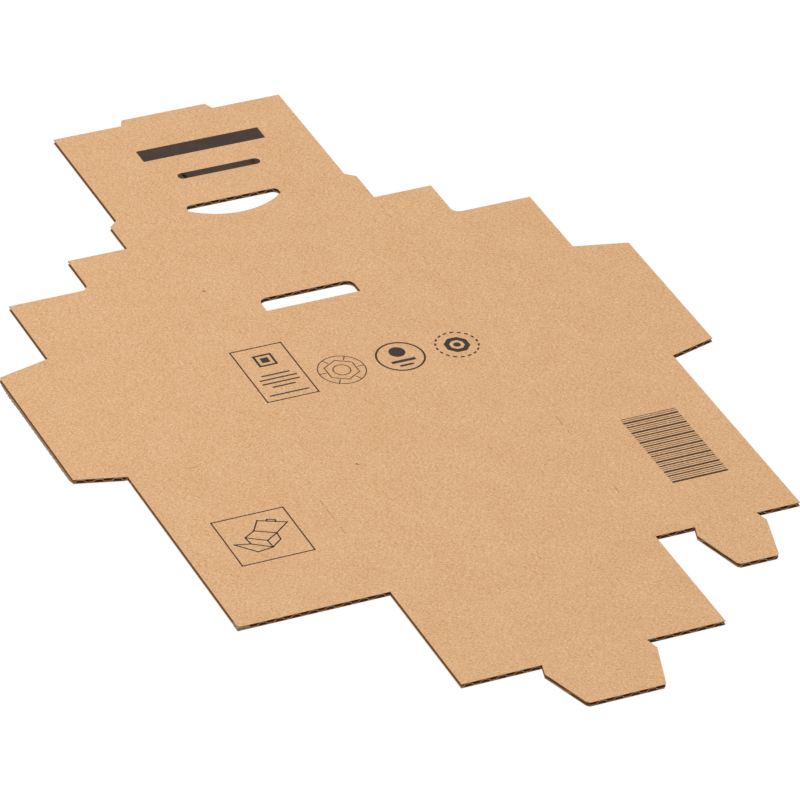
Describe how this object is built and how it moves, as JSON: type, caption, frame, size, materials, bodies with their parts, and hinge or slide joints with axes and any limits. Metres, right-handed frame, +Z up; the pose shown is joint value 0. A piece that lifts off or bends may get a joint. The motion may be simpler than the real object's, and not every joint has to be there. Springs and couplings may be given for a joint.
{
  "type": "mailer box",
  "caption": "Flat die-cut mailer box blank in corrugated board, print side up, with hinged walls, dust flaps, corner flaps, inner and outer lid and locking tabs.",
  "frame": {"origin": "centre of the floor panel, on its underside, which is the inside of the folded box", "axes": "+X along the box length to the side-tab side, +Y towards the inner lid, +Z up through the printed face"},
  "size_m": [0.2508, 0.3908, 0.0017],
  "materials": {
    "kraft_board": "matt brown kraft corrugated board, dark flexo print on the outer face"
  },
  "bodies": {
    "floor_panel": {"floor_panel": "kraft_board"},
    "left_wall": {"left_wall": "kraft_board"},
    "right_wall": {"right_wall": "kraft_board"},
    "left_dust_flap": {"left_dust_flap": "kraft_board"},
    "right_dust_flap": {"right_dust_flap": "kraft_board"},
    "left_ear_flap": {"left_ear_flap": "kraft_board"},
    "right_ear_flap": {"right_ear_flap": "kraft_board"},
    "left_long_flap": {"left_long_flap": "kraft_board"},
    "right_long_flap": {"right_long_flap": "kraft_board"},
    "side_tab": {"side_tab": "kraft_board"},
    "inner_lid_wall": {"inner_lid_wall": "kraft_board"},
    "inner_lid": {"inner_lid": "kraft_board"},
    "outer_lid_wall": {"outer_lid_wall": "kraft_board"},
    "outer_lid": {"outer_lid": "kraft_board"},
    "lid_tab": {"lid_tab": "kraft_board"}
  },
  "joints": [
    {"name": "left_wall_fold", "type": "hinge", "parent": "floor_panel", "child": "left_wall", "pos_m": [-0.05, 0, 0], "axis": [0, -1, 0], "range_deg": [0, 90]},
    {"name": "right_wall_fold", "type": "hinge", "parent": "floor_panel", "child": "right_wall", "pos_m": [0.05, 0, 0], "axis": [0, 1, 0], "range_deg": [0, 90]},
    {"name": "left_dust_flap_fold", "type": "hinge", "parent": "left_wall", "child": "left_dust_flap", "pos_m": [-0.107, 0, 0], "axis": [0, -1, 0], "range_deg": [0, 90]},
    {"name": "right_dust_flap_fold", "type": "hinge", "parent": "right_wall", "child": "right_dust_flap", "pos_m": [0.107, 0, 0], "axis": [0, 1, 0], "range_deg": [0, 90]},
    {"name": "left_ear_flap_fold", "type": "hinge", "parent": "left_wall", "child": "left_ear_flap", "pos_m": [-0.078, 0.0374, 0], "axis": [-1, 0, 0], "range_deg": [0, 90]},
    {"name": "right_ear_flap_fold", "type": "hinge", "parent": "right_wall", "child": "right_ear_flap", "pos_m": [0.078, 0.0394, 0], "axis": [-1, 0, 0], "range_deg": [0, 90]},
    {"name": "left_long_flap_fold", "type": "hinge", "parent": "left_wall", "child": "left_long_flap", "pos_m": [-0.078, -0.0394, 0], "axis": [1, 0, 0], "range_deg": [0, 90]},
    {"name": "right_long_flap_fold", "type": "hinge", "parent": "right_wall", "child": "right_long_flap", "pos_m": [0.078, -0.0374, 0], "axis": [1, 0, 0], "range_deg": [0, 90]},
    {"name": "side_tab_fold", "type": "hinge", "parent": "right_long_flap", "child": "side_tab", "pos_m": [0.0774, -0.1344, 0], "axis": [1, 0, 0], "range_deg": [0, 90]},
    {"name": "inner_lid_wall_fold", "type": "hinge", "parent": "floor_panel", "child": "inner_lid_wall", "pos_m": [0, 0.0414, 0], "axis": [-1, 0, 0], "range_deg": [0, 90]},
    {"name": "inner_lid_fold", "type": "hinge", "parent": "inner_lid_wall", "child": "inner_lid", "pos_m": [0, 0.1004, 0], "axis": [-1, 0, 0], "range_deg": [0, 90]},
    {"name": "outer_lid_wall_fold", "type": "hinge", "parent": "floor_panel", "child": "outer_lid_wall", "pos_m": [0, -0.0414, 0], "axis": [1, 0, 0], "range_deg": [0, 90]},
    {"name": "outer_lid_fold", "type": "hinge", "parent": "outer_lid_wall", "child": "outer_lid", "pos_m": [0, -0.1024, 0], "axis": [1, 0, 0], "range_deg": [0, 90]},
    {"name": "lid_tab_fold", "type": "hinge", "parent": "outer_lid", "child": "lid_tab", "pos_m": [0, -0.1872, 0], "axis": [1, 0, 0], "range_deg": [0, 90]}
  ]
}
